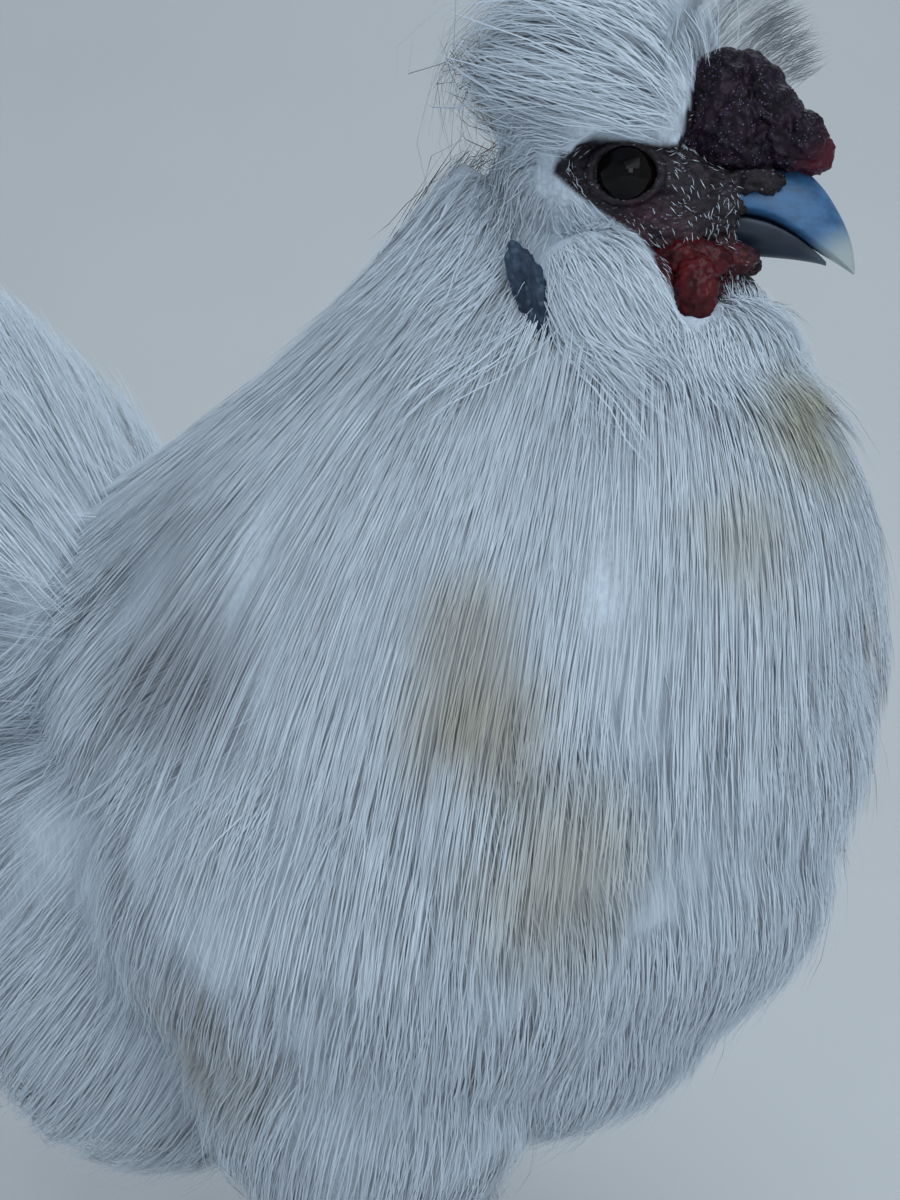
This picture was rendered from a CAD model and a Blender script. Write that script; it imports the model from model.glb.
import math

import bpy
import numpy as np
from mathutils import Matrix, Vector, noise
from mathutils.bvhtree import BVHTree


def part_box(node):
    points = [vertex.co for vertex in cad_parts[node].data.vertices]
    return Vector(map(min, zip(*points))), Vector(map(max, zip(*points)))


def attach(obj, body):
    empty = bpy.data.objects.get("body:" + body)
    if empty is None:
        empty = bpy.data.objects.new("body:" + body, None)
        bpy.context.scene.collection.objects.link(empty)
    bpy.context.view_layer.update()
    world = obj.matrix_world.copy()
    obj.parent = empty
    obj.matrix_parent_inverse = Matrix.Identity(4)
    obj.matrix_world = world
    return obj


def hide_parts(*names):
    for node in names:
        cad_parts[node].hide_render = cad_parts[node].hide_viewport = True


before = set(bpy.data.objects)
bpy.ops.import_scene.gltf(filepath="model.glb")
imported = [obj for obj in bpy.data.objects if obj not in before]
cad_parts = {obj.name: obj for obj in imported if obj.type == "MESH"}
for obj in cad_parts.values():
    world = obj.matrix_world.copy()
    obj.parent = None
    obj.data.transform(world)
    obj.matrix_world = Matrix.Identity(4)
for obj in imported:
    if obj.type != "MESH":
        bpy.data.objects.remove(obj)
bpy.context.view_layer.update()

# Skin of the trunk, neck and thighs: soft pale skin under thin white down.
# It is built of rounded bodies that are fused by a remesh, as one surface without seams.
# Sizes are in millimetres in the bird's own frame: it faces +X, its left is +Y, its feet are on z = 0.
HEAD_EYES = np.array((37.0, -2.0, 229.5))
HEAD_TURN = np.array(
    Matrix.Rotation(math.radians(10), 3, "Z") @ Matrix.Rotation(math.radians(4), 3, "Y")
)
UPRIGHT = np.eye(3)
EYE_CORNERS = [np.array(corner) for name in ("eye_right", "eye_left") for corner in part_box(name)]
MM = 0.001
BIRD_TO_MODEL = np.mean(EYE_CORNERS, axis=0) - HEAD_EYES * MM
SIDES = {"right": -1, "left": 1}
WHOLE_TURN = 2 * math.pi


def in_model(points):
    """Bird millimetres to the model's metres."""
    return np.asarray(points) * MM + BIRD_TO_MODEL


def head_point(x, y, z):
    """A point given from midway between the eyes, in the head's own turned frame."""
    return HEAD_EYES + HEAD_TURN @ np.array((x, y, z), float)


def unit(vectors):
    return vectors / np.maximum(np.linalg.norm(vectors, axis=-1, keepdims=True), 1e-9)


class Pelt:
    """A surface that feathers grow on; each kind gives point(u, v) and heart(u, v) for arrays."""

    def frame(self, u, v, step=0.01):
        """Points, the way the coat lies, the way across it and the outward direction."""
        spot = self.point(u, v)
        along = (self.point(u + step, v) - spot) / step
        across = (self.point(u, v + step) - self.point(u, v - step)) / (2 * step)
        out = unit(np.cross(along, across))
        inward = np.sum(out * (spot - self.heart(u, v)), axis=-1) < 0
        out[inward] *= -1
        return spot, along, across, out

    def walk(self, u, v, length, sway, steps):
        """Paths of the given lengths down the coat: their points, ways across and outward directions."""
        rows = []
        for _ in range(steps + 1):
            spot, along, across, out = self.frame(u, v)
            rows.append((spot, unit(across), out))
            u = u + length / steps / np.maximum(np.linalg.norm(along, axis=-1), 4)
            v = v + length / steps * sway / np.maximum(np.linalg.norm(across, axis=-1), 6)
        return [np.stack(column, axis=1) for column in zip(*rows)]

    def on_map(self, u, v):
        """Each root's place on the pelt's own unwrap, from 0 to 1 both ways."""
        return np.mod(v / self.v_span + 0.5, 1), np.clip(u / self.u_span, 0, 1)


class Egg(Pelt):
    """A rounded form with its own reach on each side; u runs from its pole, v turns round it."""

    u_span, v_span = math.pi, WHOLE_TURN

    def __init__(self, centre, reach, pole=(0, 0, 1), turn=UPRIGHT):
        self.centre = np.array(centre, float)
        self.reach = np.array([r if isinstance(r, tuple) else (r, r) for r in reach], float)
        self.turn = turn
        self.pole = unit(np.array(pole, float))
        side = np.array((0.0, 1.0, 0.0))
        self.side = unit(side - self.pole * side.dot(self.pole))
        self.rear = np.cross(self.pole, self.side)

    def on_unit(self, q, more=0.0):
        reach = np.where(q >= 0, self.reach[:, 0], self.reach[:, 1]) + more
        return self.centre + (q * reach) @ self.turn.T

    def point(self, u, v, more=0.0):
        u, v = np.asarray(u)[..., None], np.asarray(v)[..., None]
        ring = self.rear * np.cos(v) + self.side * np.sin(v)
        return self.on_unit(self.pole * np.cos(u) + ring * np.sin(u), more)

    def heart(self, u, v):
        return self.centre

    def holds(self, points, more=0.0):
        """Which points lie inside the form."""
        local = (points - self.centre) @ self.turn
        reach = np.where(local >= 0, self.reach[:, 0], self.reach[:, 1]) + more
        return np.sum((local / reach) ** 2, axis=-1) < 1


def cubic(ends, u):
    """Point of a cubic curve with the four given ends, for an array of u."""
    a, b, c, d = (np.array(p, float) for p in ends)
    u = np.asarray(u, float)[..., None]
    w = 1 - u
    return a * w**3 + b * (3 * u * w * w) + c * (3 * u * u * w) + d * u**3


class Skirt(Pelt):
    """A bell of plumage between a back, a flank and a front line; v = 0 is the back."""

    u_span, v_span = 1.0, WHOLE_TURN

    def __init__(self, back, flank, front):
        self.back, self.flank, self.front = back, flank, front

    def point(self, u, v, more=0.0):
        u, v = np.broadcast_arrays(np.asarray(u, float), np.asarray(v, float))
        flank = cubic(self.flank, u)
        far = np.where((np.cos(v) >= 0)[..., None], cubic(self.back, u), cubic(self.front, u))
        share = np.abs(np.cos(v))
        level = flank[..., 2] + (far[..., 2] - flank[..., 2]) * share * share
        x = flank[..., 0] + (far[..., 0] - flank[..., 0]) * share
        y = far[..., 1] * (1 - u) + flank[..., 1] * np.sin(v)
        return np.stack([x, y, level], axis=-1)

    def heart(self, u, v):
        flank = cubic(self.flank, u)
        return np.stack([flank[..., 0], 0 * flank[..., 0], flank[..., 2] - 10], axis=-1)


class Fan(Pelt):
    """Plumage spread over three lines; v runs from -1 to 1 across them."""

    u_span, v_span = 1.0, 2.0

    def __init__(self, heart, *lines):
        self.centre, self.lines = heart, lines

    def point(self, u, v, more=0.0):
        u, v = np.broadcast_arrays(np.asarray(u, float), np.asarray(v, float))
        a, b, c = (cubic(line, u) for line in self.lines)
        v = v[..., None]
        return a * (v * (v - 1) / 2) + b * (1 - v * v) + c * (v * (v + 1) / 2)

    def heart(self, u, v):
        return self.centre


LEAN = math.radians(25)
LEANING = (math.sin(LEAN), 0, math.cos(LEAN))
BODY = Egg((-4, 0, 128), ((80, 72), (57, 57), (48, 60)), LEANING)
RUMP = Egg((-46, 0, 100), ((44, 58), 42, (30, 44)), LEANING)
THIGHS = {name: Egg((-5, 31 * s, 70), (29, 22, (30, 30))) for name, s in SIDES.items()}
CAPE = Skirt(
    back=((2, -2, 236), (-16, -1, 208), (-42, 0, 190), (-72, 0, 172)),
    flank=((18, 9, 224), (14, 8, 204), (6, 56, 177), (0, 75, 104)),
    front=((46, -3, 204), (62, -2, 200), (85, -1, 188), (84, 0, 140)),
)
FLANKS = [Egg((-2, 33 * s, 104), (50, 34, (34, 40))) for s in SIDES.values()]
BELLY = Egg((24, 0, 104), (46, 46, (36, 36)))
UNDERSIDE = Egg((14, 0, 80), (36, 42, (20, 27)))
VENT = Egg((-64, 0, 80), ((42, 34), 38, (34, 42)))
SHANK_X, FOOT_X, LEG_Y = -14, -8, 31
HOCK_Z, ANKLE_Z = 62, 9


def alone(obj):
    """Selects one object only and makes it the active one."""
    bpy.ops.object.select_all(action="DESELECT")
    obj.select_set(True)
    bpy.context.view_layer.objects.active = obj
    return obj


def corners_of(obj):
    flat = np.empty(len(obj.data.vertices) * 3, np.float32)
    obj.data.vertices.foreach_get("co", flat)
    return flat.reshape(-1, 3).astype(float)


def normals_of(obj):
    flat = np.empty(len(obj.data.vertices) * 3, np.float32)
    obj.data.vertices.foreach_get("normal", flat)
    return flat.reshape(-1, 3).astype(float)


def move_corners(obj, points):
    obj.data.vertices.foreach_set("co", np.asarray(points, np.float32).ravel())
    obj.data.update()
    return obj


def ball(name, place, detail=5):
    """A fine ball whose unit points are taken to place(q), in bird millimetres."""
    bpy.ops.object.select_all(action="DESELECT")
    bpy.ops.mesh.primitive_ico_sphere_add(subdivisions=detail, radius=1)
    obj = bpy.context.object
    obj.name = obj.data.name = name
    return move_corners(obj, in_model(place(unit(corners_of(obj)))))


def rolled(name, place, around, along):
    """A sheet rolled into a closed tube: place(share, turn) gives its points, and its ends are filled."""
    bpy.ops.object.select_all(action="DESELECT")
    bpy.ops.mesh.primitive_grid_add(x_subdivisions=around, y_subdivisions=along, size=2)
    obj = bpy.context.object
    obj.name = obj.data.name = name
    flat = corners_of(obj)
    turn, share = (flat[:, 0] + 1) * math.pi, (flat[:, 1] + 1) / 2
    move_corners(obj, in_model(place(share, turn)))
    bpy.ops.object.mode_set(mode="EDIT")
    bpy.ops.mesh.select_all(action="SELECT")
    bpy.ops.mesh.remove_doubles(threshold=2e-6)
    bpy.ops.mesh.fill_holes(sides=0)
    bpy.ops.mesh.select_all(action="SELECT")
    bpy.ops.mesh.normals_make_consistent(inside=False)
    bpy.ops.object.mode_set(mode="OBJECT")
    return obj


def finish_with(obj, kind, **settings):
    """Adds a modifier with its settings and applies it."""
    alone(obj)
    modifier = obj.modifiers.new(kind.lower(), kind)
    for setting, value in settings.items():
        setattr(modifier, setting, value)
    bpy.ops.object.modifier_apply(modifier=modifier.name)
    return obj


def joined(name, *objs):
    """Several closed bodies as one mesh object."""
    bpy.ops.object.select_all(action="DESELECT")
    for obj in objs:
        obj.select_set(True)
    bpy.context.view_layer.objects.active = objs[0]
    if len(objs) > 1:
        bpy.ops.object.join()
    objs[0].name = objs[0].data.name = name
    return objs[0]


def fused(name, voxel, *objs):
    """Several closed bodies melted into one surface by a voxel remesh."""
    obj = joined(name, *objs)
    finish_with(obj, "REMESH", mode="VOXEL", voxel_size=voxel * MM, use_smooth_shade=True)
    return obj


def cut(obj, other, operation="DIFFERENCE"):
    finish_with(obj, "BOOLEAN", object=other, operation=operation, solver="EXACT")
    bpy.data.objects.remove(other)
    return obj


def smooth(obj, angle=180):
    alone(obj)
    bpy.ops.object.shade_smooth_by_angle(angle=math.radians(angle))
    return obj


DOWN_DEPTH = 3.0
TRUNK = (BODY, BELLY, UNDERSIDE, *FLANKS, RUMP, VENT, *THIGHS.values())
trunk = [ball("trunk", lambda q, egg=egg: egg.on_unit(q, DOWN_DEPTH)) for egg in TRUNK]


def neck_place(share, turn):
    """The neck under the cape's own surface, drawn in to the body at the hem."""
    spot, _, _, out = CAPE.frame(share, turn)
    inward = 0.8 + 12 * np.clip((share - 0.78) / 0.22, 0, 1) ** 2
    return spot - out * inward[:, None]


trunk.append(rolled("neck_skin", neck_place, 72, 40))


def shank_place(side):
    def place(share, turn):
        """The scaly shank, thicker at both joints."""
        thick = 3.9 + 0.9 * (2 * share - 1) ** 2 + 0.12 * np.cos(share * 56)
        x = FOOT_X + (SHANK_X - FOOT_X) * share
        z = ANKLE_Z + 0.9 + (HOCK_Z + 2 - ANKLE_Z) * share
        return np.stack([x + thick * np.cos(turn), side * LEG_Y + thick * np.sin(turn), z], axis=-1)

    return place


trunk += [rolled("shank_skin", shank_place(s), 28, 60) for s in SIDES.values()]
TAIL_TURN = np.array(
    Matrix.Rotation(math.pi, 3, "Z") @ Matrix.Rotation(math.radians(-30), 3, "Y")
)
TAIL = Egg((-84, 0, 150), ((46, 28), 42, (25, 36)), turn=TAIL_TURN)
CREST = Egg(head_point(-7, 0, 13), ((20, 17), 21, (19, 17)), (0.8, 0, -0.2), HEAD_TURN)
BEARD = Egg(head_point(14, 0, -33), ((18, 14), 18, (12.5, 19)), turn=HEAD_TURN)
MUFFS = [Egg(head_point(-3, 10.5 * s, -24), (15, 8, (13.5, 18)), turn=HEAD_TURN) for s in SIDES.values()]
trunk += [ball("down", lambda q, egg=egg: egg.on_unit(q, 0.5), 4) for egg in (TAIL, CREST, BEARD, *MUFFS)]
body_skin = fused("body_skin", 1.7, *trunk)
finish_with(body_skin, "SMOOTH", factor=0.5, iterations=4)
for side in SIDES.values():
    window = Egg(head_point(1.5, side * 20, -1.5), (13.5, 15, 9), turn=HEAD_TURN)
    cut(body_skin, ball("window", window.on_unit, 4))

# Head skin: the bare dark face with its eyelids, fused to the neck's skin.
# Real face skin is thin, wrinkled and mulberry coloured, redder towards the wattles.
HEAD_SECTIONS = np.array((
    (-23.0, 0.5, 3.2, 3.2, 3.2),
    (-20.0, 0.0, 8.5, 9.0, 8.5),
    (-12.0, 0.0, 12.6, 13.6, 13.6),
    (-3.0, 0.0, 12.9, 14.2, 14.7),
    (4.0, -0.5, 12.5, 13.2, 14.7),
    (10.0, -2.0, 11.1, 11.3, 13.8),
    (15.0, -3.5, 9.6, 9.8, 12.2),
    (20.3, -5.0, 8.1, 9.1, 10.9),
))
FACE_FRONT = 20.6
EYE_OUT, EYE_RADIUS = 8.9, 6.6


def skull_place(share, turn):
    """Rings of the skull from the nape to the beak's root, each rounder below."""
    stops = np.linspace(0, 1, len(HEAD_SECTIONS))
    x, level, half, up, down = (np.interp(share, stops, HEAD_SECTIONS[:, k]) for k in range(5))
    rise = np.sin(turn) * np.where(np.sin(turn) > 0, up, down)
    spots = np.stack([x, half * np.cos(turn), level + rise], axis=-1)
    return HEAD_EYES + spots @ HEAD_TURN.T


def turned_in_head(obj, spot):
    """Takes a small piece modelled at the origin, in metres, to its place in the head."""
    points = corners_of(obj) @ HEAD_TURN.T + in_model(head_point(*spot))
    return move_corners(obj, points)


def eyelid(side, centre_y=13.1):
    """A rolled rim of skin round the eye, a little longer than high."""
    bpy.ops.object.select_all(action="DESELECT")
    bpy.ops.mesh.primitive_torus_add(
        major_segments=64, minor_segments=16, major_radius=6.6 * MM, minor_radius=0.95 * MM
    )
    rim = bpy.context.object
    ring = corners_of(rim)
    angle = np.arctan2(ring[:, 1], ring[:, 0])
    sag = 0.35 * MM * np.cos(2 * angle)
    across, high = ring[:, 0] * 1.0, ring[:, 1] * 0.78
    depth = ring[:, 2] + sag - (np.abs(ring[:, 0]) > 5.8 * MM) * 0.5 * MM
    move_corners(rim, np.stack([across, side * depth, high], axis=-1))
    return turned_in_head(rim, (0, side * centre_y, 0))


skull_parts = [rolled("skull", skull_place, 72, 60)] + [eyelid(s) for s in SIDES.values()]
for side in SIDES.values():
    cheek = Egg(head_point(6, side * 8.6, -9.5), (10, 4.2, 5.4), turn=HEAD_TURN)
    skull_parts.append(ball("cheek", cheek.on_unit, 4))
    brow = Egg(head_point(1, side * 9.6, 6.6), (9, 3.9, 2.6), turn=HEAD_TURN)
    skull_parts.append(ball("brow", brow.on_unit, 4))
    flap = Egg(head_point(23.2, side * 5.3, 0.6), (5.4, 2.7, 3.2), turn=HEAD_TURN)
    skull_parts.append(ball("flap", flap.on_unit, 4))
    corner = Egg(head_point(17.5, side * 7.0, -4.6), (4.6, 2.3, 2.2), turn=HEAD_TURN)
    skull_parts.append(ball("corner", corner.on_unit, 4))
    fold = Egg(head_point(19.5, side * 6.4, -13.6), (5.6, 2.8, 3.0), turn=HEAD_TURN)
    skull_parts.append(ball("fold", fold.on_unit, 4))
bridge = Egg(head_point(20.5, 0, 3.6), (6.2, 6.0, 2.9), turn=HEAD_TURN)
skull_parts.append(ball("bridge", bridge.on_unit, 4))
for x, z, wide, high in ((15, -14.5, 5.6, 3.4), (17, -19.5, 7.0, 5.0)):
    throat = Egg(head_point(x, 0, z), (8.0, wide, high), turn=HEAD_TURN)
    skull_parts.append(ball("throat", throat.on_unit, 4))
head_skin = fused("head_skin", 0.45, *skull_parts)
finish_with(head_skin, "SMOOTH", factor=0.5, iterations=5)
for side in SIDES.values():
    socket = Egg(head_point(0, side * EYE_OUT, 0), (EYE_RADIUS + 0.08,) * 3)
    cut(head_skin, ball("socket", socket.on_unit, 5))


def wrinkled(obj, depth, size, stretch=(1, 1, 1), ridges=False, keep=None):
    """Moves each corner in or out by an even noise, as folds and pores do."""
    points, normals = corners_of(obj), normals_of(obj)
    local = (points - in_model(HEAD_EYES)) / MM / size * np.array(stretch)
    waves = np.array([noise.fractal(Vector(p), 0.9, 2.0, 3) for p in local])
    if ridges:
        waves = 0.5 - np.abs(waves) * 2
    if keep is not None:
        waves = waves * keep(points / MM - BIRD_TO_MODEL / MM)
    return move_corners(obj, points + normals * waves[:, None] * depth * MM)


def away_from_eyes(points):
    """0 at the eyes' rims, 1 on the face beyond them."""
    local = (points - HEAD_EYES) @ HEAD_TURN
    reach = np.hypot(local[:, 0], local[:, 2] * 1.1)
    return np.clip((reach - 6.2) / 3, 0, 1)


wrinkled(head_skin, 0.55, 2.6, (0.7, 1, 1.6), True, away_from_eyes)
skin = cut(body_skin, head_skin, "UNION")
skin.name = skin.data.name = "skin"
smooth(skin)


def lower_edge(x):
    """Height of the bare face's lower edge along the head, before the feathers begin."""
    return np.interp(x, (-13.5, -8.5, -2, 3.2, 6, 7.6, 12), (-0.5, -4.3, -8.4, -11.2, -14.5, -19, -22))


def bare_share(points):
    """1 on the bare face, 0 where down covers the skin, for points in bird millimetres."""
    local = (points - HEAD_EYES) @ HEAD_TURN
    x, z = local[:, 0], local[:, 2]
    over = np.interp(x, (-13.5, -10.5, -5.5, 0, 6, 9, 13), (-0.5, 4.4, 5.8, 6.0, 5.4, 6.0, 30))
    edge = np.minimum(over - z, z - lower_edge(x))
    return np.clip(0.5 + edge / 1.0, 0, 1) * (x > -14) * (np.abs(local[:, 1]) < 17)


bare = skin.data.attributes.new("bare", "FLOAT", "POINT")
bare.data.foreach_set("value", bare_share((corners_of(skin) - BIRD_TO_MODEL) / MM).astype(np.float32))


def nodes_for(name):
    """A new material's node tree, its surface shader and a short way to add nodes."""
    material = bpy.data.materials.new(name)
    material.use_nodes = True
    tree = material.node_tree
    surface = tree.nodes["Principled BSDF"]

    def add(kind, inputs=(), **settings):
        node = tree.nodes.new("ShaderNode" + kind)
        for setting, value in settings.items():
            setattr(node, setting, value)
        for socket, value in dict(inputs).items():
            if isinstance(value, bpy.types.NodeSocket):
                tree.links.new(value, node.inputs[socket])
            else:
                node.inputs[socket].default_value = value
        return node

    def link(value, socket):
        tree.links.new(value, surface.inputs[socket])

    return material, surface, add, link


def noise_of(add, scale, detail=4, rough=0.55, stretch=(1, 1, 1), where=None):
    """A noise on Object coordinates in metres, stretched if asked."""
    place = where or add("TexCoord").outputs["Object"]
    scaled = add("Mapping", {"Vector": place, "Scale": stretch})
    inputs = {"Vector": scaled.outputs[0], "Scale": scale, "Detail": detail, "Roughness": rough}
    return add("TexNoise", inputs).outputs["Fac"]


def blend_of(add, share, first, second):
    """One colour over another by a share."""
    mix = add("Mix", {"Factor": share}, data_type="RGBA")
    for socket, value in ((6, first), (7, second)):
        if isinstance(value, bpy.types.NodeSocket):
            mix.id_data.links.new(value, mix.inputs[socket])
        else:
            mix.inputs[socket].default_value = (*value, 1)
    return mix.outputs[2]


def ramp_of(add, value, low, high):
    """A value stretched so that low becomes 0 and high becomes 1."""
    inputs = {"Value": value, "From Min": low, "From Max": high}
    return add("MapRange", inputs, interpolation_type="SMOOTHSTEP").outputs[0]


def near_of(add, spot, inner, outer):
    """1 within inner millimetres of a spot of the bird, 0 beyond outer."""
    place = add("TexCoord").outputs["Object"]
    inputs = {0: place, 1: tuple(in_model(spot))}
    distance = add("VectorMath", inputs, operation="DISTANCE").outputs["Value"]
    return ramp_of(add, distance, outer * MM, inner * MM)


def product_of(add, a, b):
    return add("Math", {0: a, 1: b}, operation="MULTIPLY").outputs[0]


def bump_of(add, link, height, depth, size):
    """Surface relief from a height; depth is its strength and size its height in metres."""
    bump = add("Bump", {"Height": height, "Strength": depth, "Distance": size})
    link(bump.outputs["Normal"], "Normal")
    return bump


STAINS = (
    ((24, -62, 152), 2, 17, (0.51, 0.48, 0.41), 0.85),
    ((27, -62, 133), 3, 20, (0.50, 0.47, 0.39), 0.9),
    ((42, -60, 108), 3, 26, (0.51, 0.48, 0.40), 0.8),
    ((-44, -50, 168), 6, 26, (0.42, 0.46, 0.51), 0.85),
    ((-32, -62, 142), 6, 26, (0.42, 0.45, 0.50), 0.85),
    ((76, -13, 184), 3, 19, (0.49, 0.46, 0.33), 0.85),
    ((64, -30, 162), 2, 18, (0.55, 0.53, 0.45), 0.6),
    ((-26, -54, 72), 4, 22, (0.42, 0.39, 0.32), 0.6),
    ((30, 66, 130), 8, 32, (0.53, 0.49, 0.40), 0.7),
    ((-40, 50, 90), 6, 26, (0.53, 0.50, 0.43), 0.5),
)


def with_stains(add, colour):
    """The dingy patches that a white coat picks up, where the cock rubs and drinks."""
    patches = noise_of(add, 60, 3)
    for spot, inner, outer, stain, strength in STAINS:
        near = product_of(add, near_of(add, spot, inner, outer), ramp_of(add, patches, 0.2, 0.5))
        colour = blend_of(add, product_of(add, near, strength), colour, stain)
    return colour


def skin_material():
    material, surface, add, link = nodes_for("skin")
    streaks = noise_of(add, 1100, 4, 0.65, (1, 1, 0.09))
    down = blend_of(add, ramp_of(add, streaks, 0.3, 0.7), (0.60, 0.67, 0.76), (0.77, 0.85, 0.94))
    down = with_stains(add, down)
    wrinkles = noise_of(add, 700, 6, 0.65, (1, 1, 1.6))
    folds = ramp_of(add, wrinkles, 0.35, 0.7)
    face = blend_of(add, folds, (0.006, 0.004, 0.006), (0.030, 0.018, 0.024))
    spread = noise_of(add, 160, 4)
    for side in SIDES.values():
        cheek = near_of(add, head_point(6, side * 11, -11), 3, 11)
        plum = blend_of(add, folds, (0.018, 0.006, 0.010), (0.070, 0.024, 0.036))
        face = blend_of(add, product_of(add, cheek, ramp_of(add, spread, 0.25, 0.55)), face, plum)
        for spot, inner, outer in ((head_point(12, side * 10, -18), 4, 9), (head_point(20, side * 8, -15), 2, 7)):
            red = blend_of(add, folds, (0.035, 0.003, 0.005), (0.13, 0.012, 0.016))
            face = blend_of(add, near_of(add, spot, inner, outer), face, red)
    cells = add("Mapping", {"Vector": add("TexCoord").outputs["Object"], "Scale": (0.55, 1, 1)}).outputs[0]
    dots = add("TexVoronoi", {"Vector": cells, "Scale": 1500}).outputs["Distance"]
    flecks = product_of(add, ramp_of(add, dots, 0.30, 0.16), ramp_of(add, noise_of(add, 420, 3), 0.42, 0.6))
    face = blend_of(add, product_of(add, flecks, 0.65), face, (0.30, 0.27, 0.36))
    bare = add("Attribute", attribute_name="bare").outputs["Fac"]
    link(blend_of(add, bare, down, face), "Base Color")
    link(add("MapRange", {"Value": folds, "To Min": 0.62, "To Max": 0.42}).outputs[0], "Roughness")
    surface.inputs["Specular IOR Level"].default_value = 0.35
    relief = add("Mix", {0: bare, 2: streaks, 3: wrinkles}).outputs[0]
    bump_of(add, link, relief, 0.6, 0.0005)
    return material


def dressed(obj, material):
    obj.data.materials.clear()
    obj.data.materials.append(material)
    return obj


dressed(skin, skin_material())
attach(skin, "root")
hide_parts("head", "neck", "breast", "back", "abdomen", "thigh_right", "thigh_left", "shank_right", "shank_left")


# Plumage: the silkie's hair-like feathers, whose barbs hang free, in soft locks that lie down the body.
# Each lock is many thin closed strands that start apart in the skin and drift together or apart.
PATCH = 0.003


class Hide(Pelt):
    """The skin mesh itself; flow(points) gives the way its feathers lie. u holds roots, v their normals."""

    def __init__(self, obj, flow, spread_x, spread_z):
        obj.data.calc_loop_triangles()
        corners = (corners_of(obj) - BIRD_TO_MODEL) / MM
        ends = np.empty(len(obj.data.loop_triangles) * 3, np.int32)
        obj.data.loop_triangles.foreach_get("vertices", ends)
        self.ends = corners[ends.reshape(-1, 3)]
        self.middles = self.ends.mean(axis=1)
        self.tree = BVHTree.FromPolygons(corners.tolist(), ends.reshape(-1, 3).tolist())
        crossed = np.cross(self.ends[:, 1] - self.ends[:, 0], self.ends[:, 2] - self.ends[:, 0])
        self.area, self.outward = np.linalg.norm(crossed, axis=1), unit(crossed)
        self.flow, self.spread_x, self.spread_z = flow, spread_x, spread_z

    def roots(self, dice, count, chosen):
        """Even roots over the chosen faces."""
        share = self.area * chosen
        faces = dice.choice(len(share), count, p=share / share.sum())
        a, b = np.sort(dice.uniform(0, 1, (2, count)), axis=0)
        weights = np.stack([a, b - a, 1 - b], axis=-1)[..., None]
        return np.sum(self.ends[faces] * weights, axis=1), self.outward[faces]

    def walk(self, u, v, length, sway, steps):
        spot, out, rows = u, v, []
        for _ in range(steps + 1):
            ahead = self.flow(spot)
            ahead = unit(ahead - out * np.sum(ahead * out, axis=-1, keepdims=True))
            across = np.cross(out, ahead)
            rows.append((spot, across, out))
            step = spot + (ahead + across * np.reshape(sway, (-1, 1))) * (length / steps)[:, None]
            found = [self.tree.find_nearest(Vector(p)) for p in step]
            spot = np.array([hit[0] for hit in found])
            out = unit(out * 0.6 + np.array([hit[1] for hit in found]) * 0.4)
        return [np.stack(column, axis=1) for column in zip(*rows)]

    def on_map(self, u, v):
        turn = np.arctan2(u[:, 1], u[:, 2] - self.spread_z[0]) / WHOLE_TURN + 0.5
        return turn, np.clip((u[:, 0] - self.spread_x[0]) / (self.spread_x[1] - self.spread_x[0]), 0, 1)


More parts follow.
